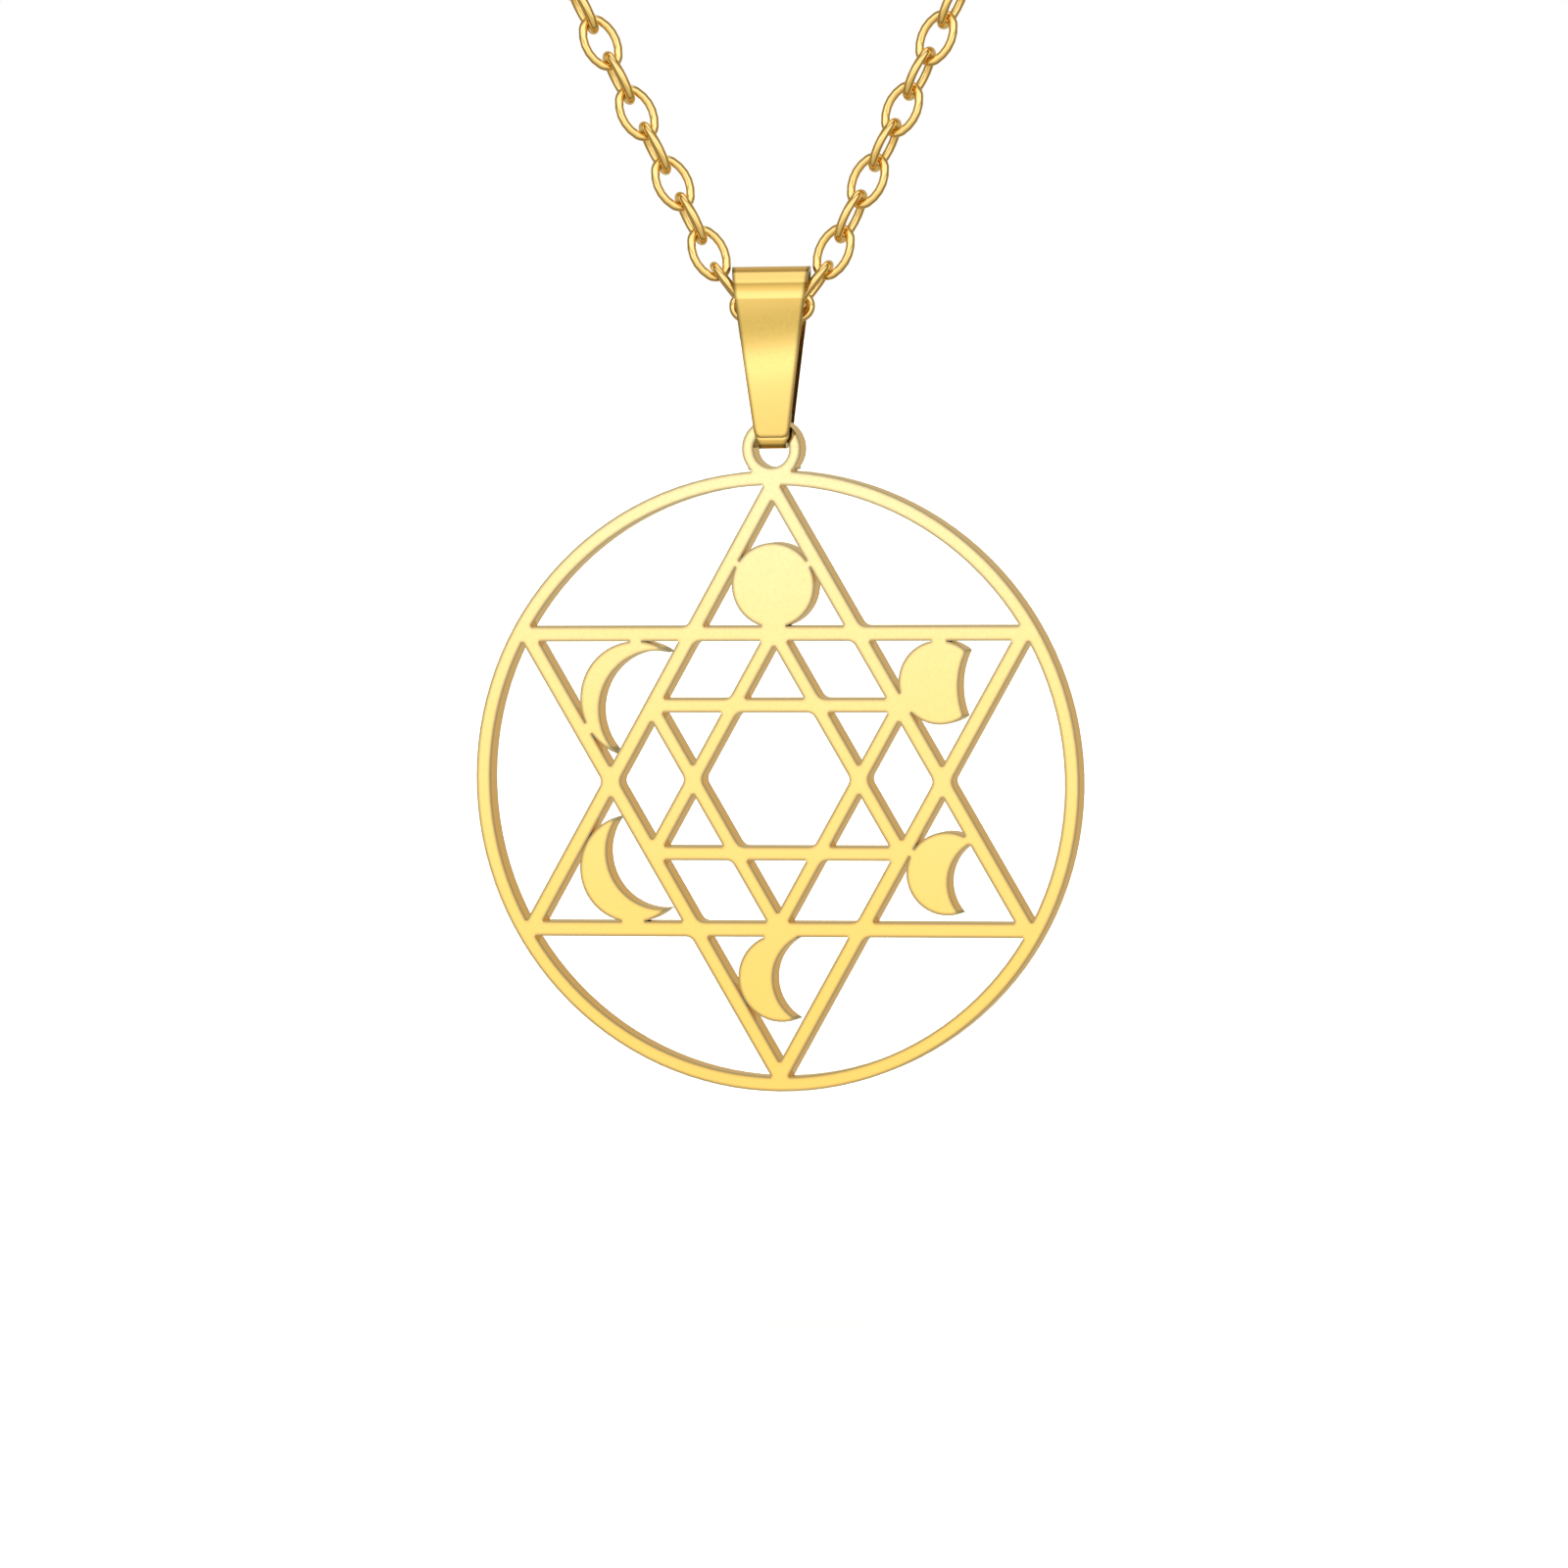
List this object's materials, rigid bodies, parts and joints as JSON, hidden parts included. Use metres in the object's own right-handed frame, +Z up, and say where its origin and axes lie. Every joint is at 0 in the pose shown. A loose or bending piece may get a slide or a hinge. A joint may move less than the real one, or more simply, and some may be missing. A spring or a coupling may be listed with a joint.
{
  "type": "star of david pendant",
  "caption": "Flat round pierced disc with a large and a small six-pointed star and moons in its corners, hung by a folded tapering bail from a cable chain necklace.",
  "frame": {"origin": "middle of the loop at the height of the nape, where the neck goes through", "axes": "+Z up, -Y the front of the pendant, +X to the right seen from the front"},
  "size_m": [0.1138, 0.0852, 0.1479],
  "materials": {
    "gold": "mirror polished gold coating on stainless steel"
  },
  "bodies": {
    "chain": {"chain_left": "gold", "chain_right": "gold", "clasp": "gold"},
    "bail": {"bail": "gold"},
    "disc": {"star_disc": "gold"}
  },
  "joints": [
    {"name": "bail_swing", "type": "hinge", "parent": "chain", "child": "bail", "pos_m": [0, -0.04045, -0.10841], "axis": [1, 0, 0], "range_deg": [-12, 12]},
    {"name": "pendant_swing", "type": "hinge", "parent": "bail", "child": "disc", "pos_m": [0, -0.04045, -0.11435], "axis": [1, 0, 0], "range_deg": [-20, 20]}
  ]
}
